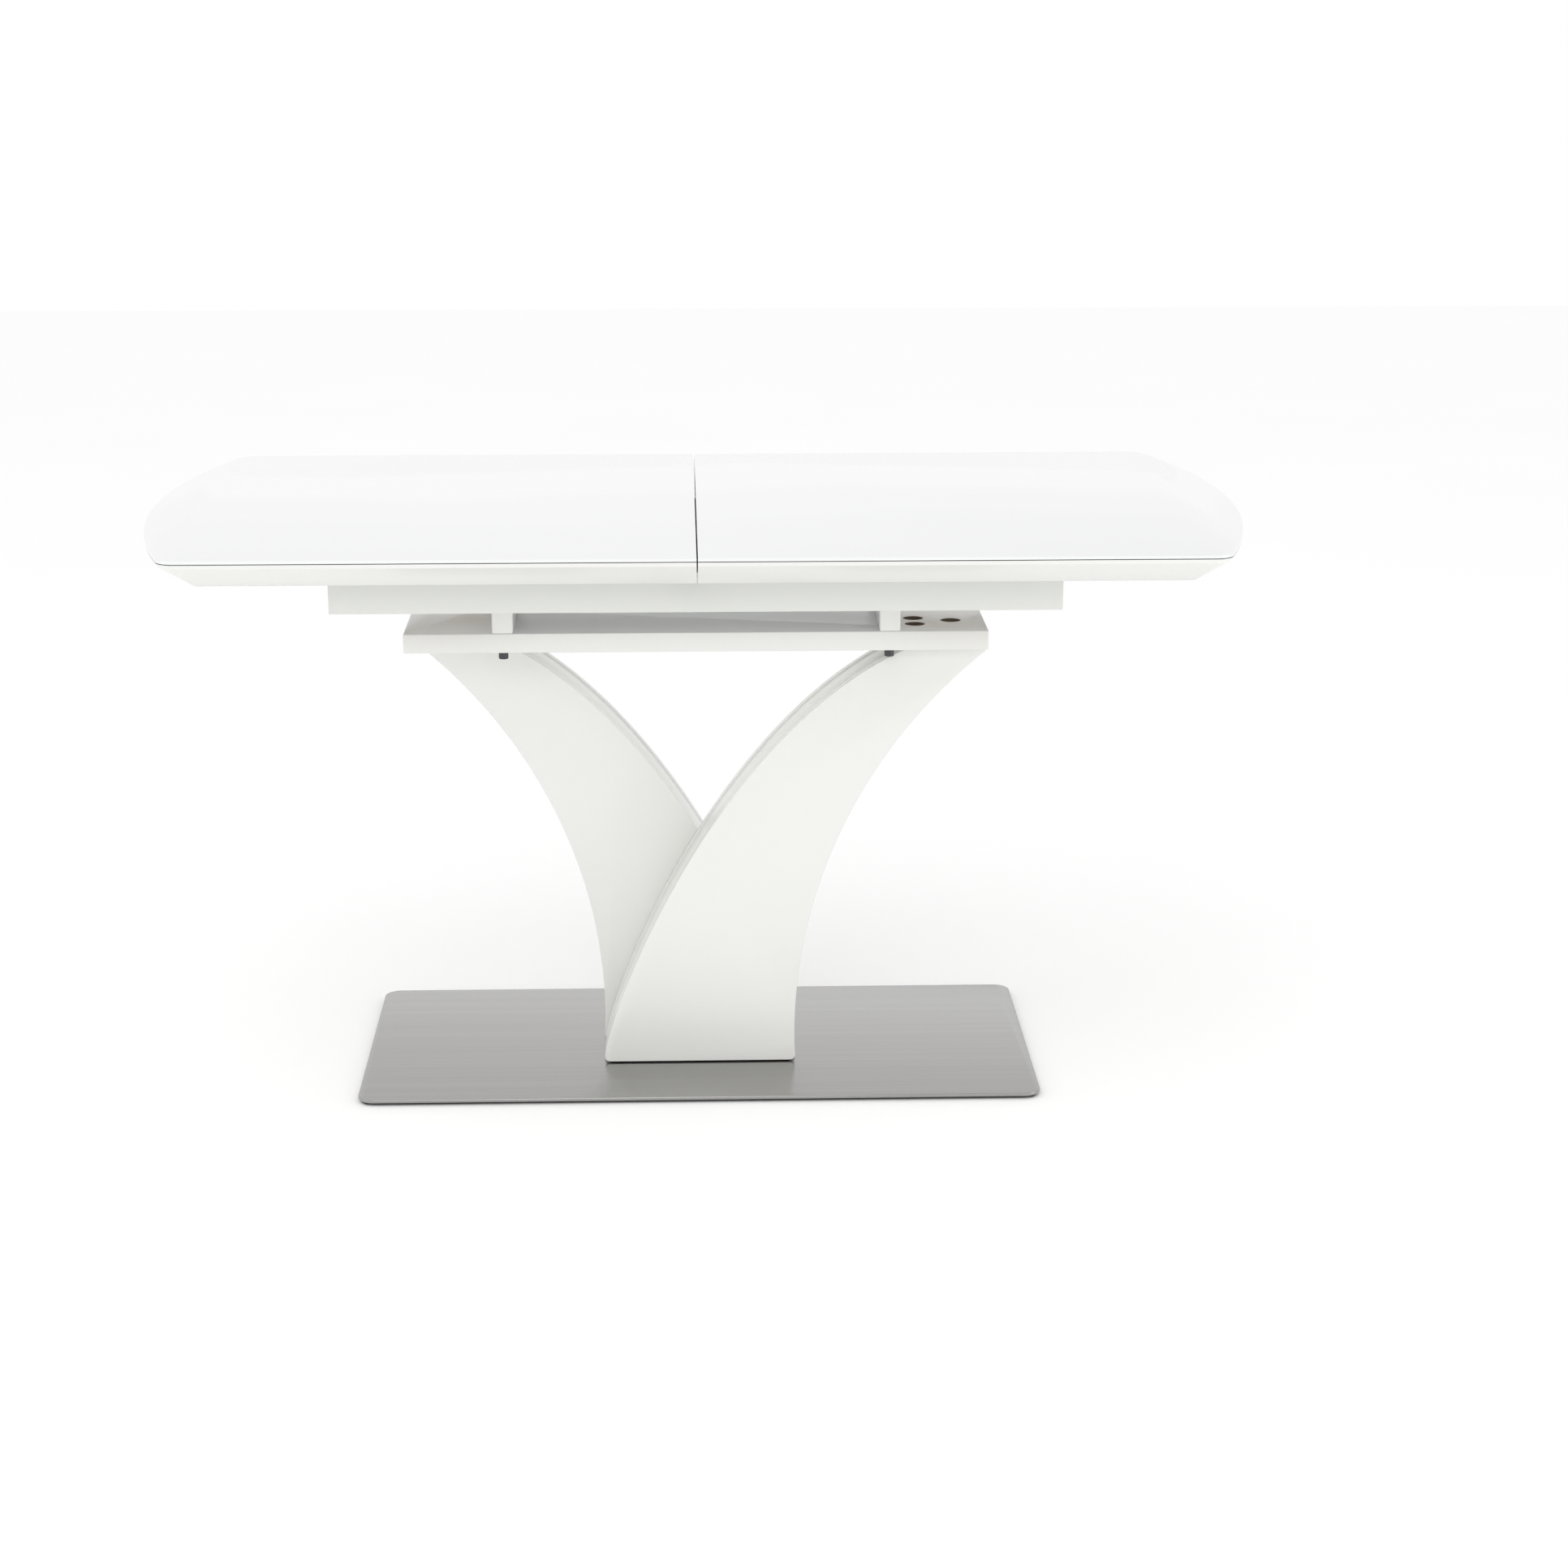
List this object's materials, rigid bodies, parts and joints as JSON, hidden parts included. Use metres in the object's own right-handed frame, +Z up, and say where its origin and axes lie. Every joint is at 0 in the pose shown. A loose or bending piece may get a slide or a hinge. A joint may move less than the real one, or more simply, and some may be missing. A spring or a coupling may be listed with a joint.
{
  "type": "extendable dining table",
  "caption": "White dining table whose top parts in the middle and slides open over a shallow frame, on crossed curved legs and a flat steel base plate.",
  "frame": {"origin": "on the floor under the middle of the table", "axes": "+X along the length, towards the right-hand top half; +Y towards the back; +Z up"},
  "size_m": [1.4, 0.8, 0.75],
  "materials": {
    "white_lacquer": "white satin lacquer on MDF",
    "white_glass": "white back-painted glass sheet, glossy",
    "leaf_white": "white lacquered board",
    "beech": "oiled hardwood",
    "base_steel": "horizontally brushed stainless steel",
    "slide_steel": "bright zinc plated steel",
    "fastener_steel": "zinc plated steel",
    "dark_steel": "black oxide steel socket bolts",
    "black_board": "black painted board",
    "black_rubber": "matt black rubber pad"
  },
  "bodies": {
    "frame": {"end_rail_left": "white_lacquer", "cross_rail_left": "white_lacquer", "bearer_left": "white_lacquer", "slide_outer_left_front": "slide_steel", "frame_bolt_left_front": "dark_steel", "foot_left_front": "black_rubber", "slide_outer_left_back": "slide_steel", "frame_bolt_left_back": "dark_steel", "foot_left_back": "black_rubber", "end_rail_right": "white_lacquer", "cross_rail_right": "white_lacquer", "bearer_right": "white_lacquer", "slide_outer_right_front": "slide_steel", "frame_bolt_right_front": "dark_steel", "foot_right_front": "black_rubber", "slide_outer_right_back": "slide_steel", "frame_bolt_right_back": "dark_steel", "foot_right_back": "black_rubber", "frame_rail_front": "white_lacquer", "frame_rail_back": "white_lacquer", "frame_floor": "white_lacquer", "leaf_wing_lower": "leaf_white", "leaf_wing_upper": "leaf_white", "leaf_hinge": "fastener_steel", "mounting_board": "white_lacquer", "base_plate": "base_steel", "base_underlay": "black_board", "front_leg_front_panel": "white_lacquer", "front_leg_rear_panel": "white_lacquer", "front_leg_inner_skin": "white_lacquer", "front_leg_outer_skin": "white_lacquer", "front_leg_top_block": "beech", "rear_leg_front_panel": "white_lacquer", "rear_leg_rear_panel": "white_lacquer", "rear_leg_inner_skin": "white_lacquer", "rear_leg_outer_skin": "white_lacquer", "rear_leg_top_block": "beech"},
    "left_top": {"glass_left": "white_glass", "top_board_left": "white_lacquer", "runner_left_front": "beech", "runner_left_back": "beech", "slide_inner_left_front": "slide_steel", "slide_inner_left_back": "slide_steel", "latch_pivot_front": "fastener_steel", "latch_stud_back": "fastener_steel"},
    "right_top": {"glass_right": "white_glass", "top_board_right": "white_lacquer", "runner_right_front": "beech", "runner_right_back": "beech", "slide_inner_right_front": "slide_steel", "slide_inner_right_back": "slide_steel", "latch_pivot_back": "fastener_steel", "latch_stud_front": "fastener_steel"},
    "left_mid": {"slide_middle_left_front": "slide_steel", "slide_middle_left_back": "slide_steel"},
    "right_mid": {"slide_middle_right_front": "slide_steel", "slide_middle_right_back": "slide_steel"},
    "front_hook": {"latch_hook_front": "fastener_steel"},
    "back_hook": {"latch_hook_back": "fastener_steel"}
  },
  "joints": [
    {"name": "left_top_slide", "type": "slide", "parent": "frame", "child": "left_top", "axis": [-1, 0, 0], "range_m": [0, 0.2]},
    {"name": "right_top_slide", "type": "slide", "parent": "frame", "child": "right_top", "axis": [1, 0, 0], "range_m": [0, 0.2]},
    {"name": "left_mid_slide", "type": "slide", "parent": "frame", "child": "left_mid", "axis": [-1, 0, 0], "range_m": [0, 0.1]},
    {"name": "right_mid_slide", "type": "slide", "parent": "frame", "child": "right_mid", "axis": [1, 0, 0], "range_m": [0, 0.1]},
    {"name": "front_latch", "type": "hinge", "parent": "left_top", "child": "front_hook", "pos_m": [-0.012, -0.3125, 0.706], "axis": [0, 0, -1], "range_deg": [0, 90]},
    {"name": "back_latch", "type": "hinge", "parent": "right_top", "child": "back_hook", "pos_m": [0.012, 0.3125, 0.706], "axis": [0, 0, -1], "range_deg": [0, 90]}
  ],
  "couplings": [
    {"joint": "left_mid_slide", "follows": "left_top_slide", "ratio": 0.5},
    {"joint": "right_mid_slide", "follows": "right_top_slide", "ratio": 0.5}
  ]
}
